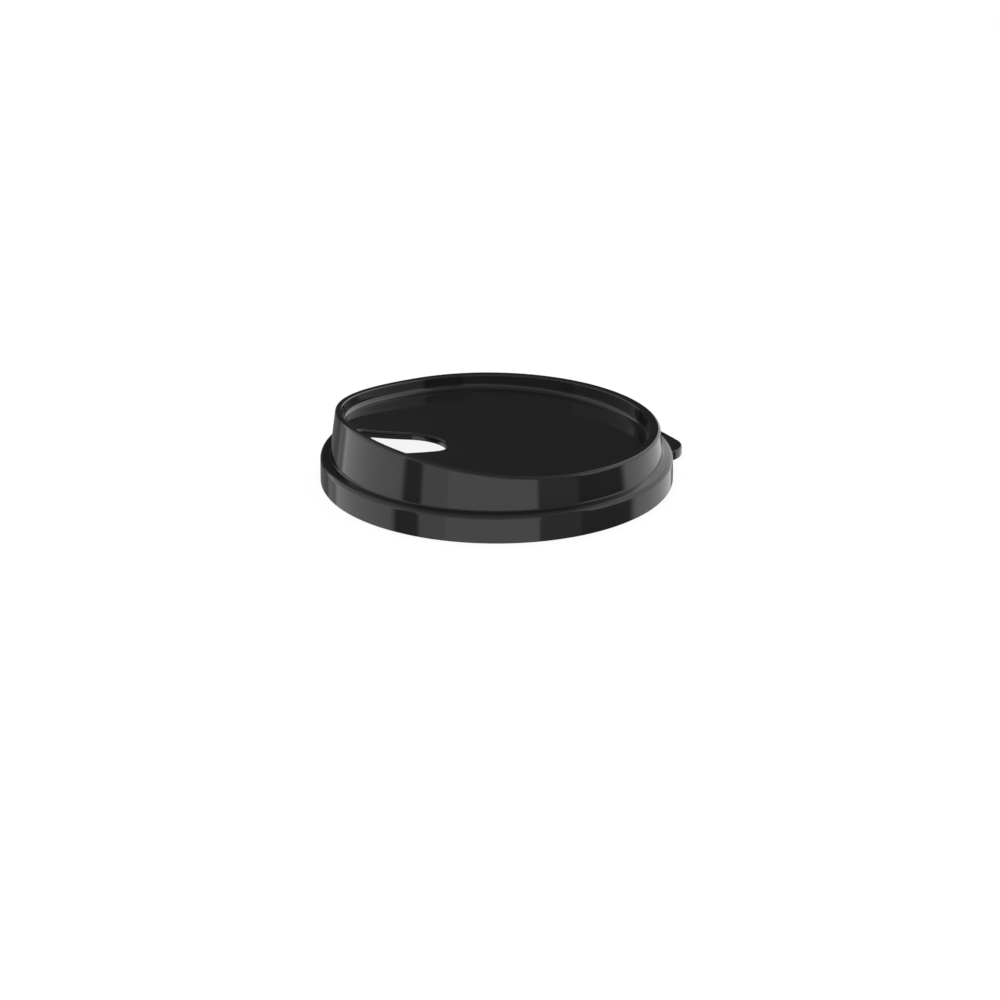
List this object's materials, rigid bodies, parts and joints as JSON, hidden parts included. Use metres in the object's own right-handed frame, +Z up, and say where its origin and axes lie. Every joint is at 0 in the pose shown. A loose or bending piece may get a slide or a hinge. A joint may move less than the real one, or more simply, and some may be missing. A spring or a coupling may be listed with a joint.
{
  "type": "cup lid",
  "caption": "Round press-on drink cup lid moulded in one piece: skirt with snap land, flat shelf, raised lip swept up at the mouth, sunken deck, drop-shaped drink opening and pull tab",
  "frame": {"origin": "on the skirt's axis, in the plane of its lower edge", "axes": "+Z up along the skirt's axis, +X towards the pull tab, -X towards the drink opening"},
  "size_m": [0.1011, 0.095, 0.0205],
  "materials": {
    "lid": "gloss black"
  },
  "bodies": {
    "root": {"lid": "lid"}
  },
  "joints": []
}
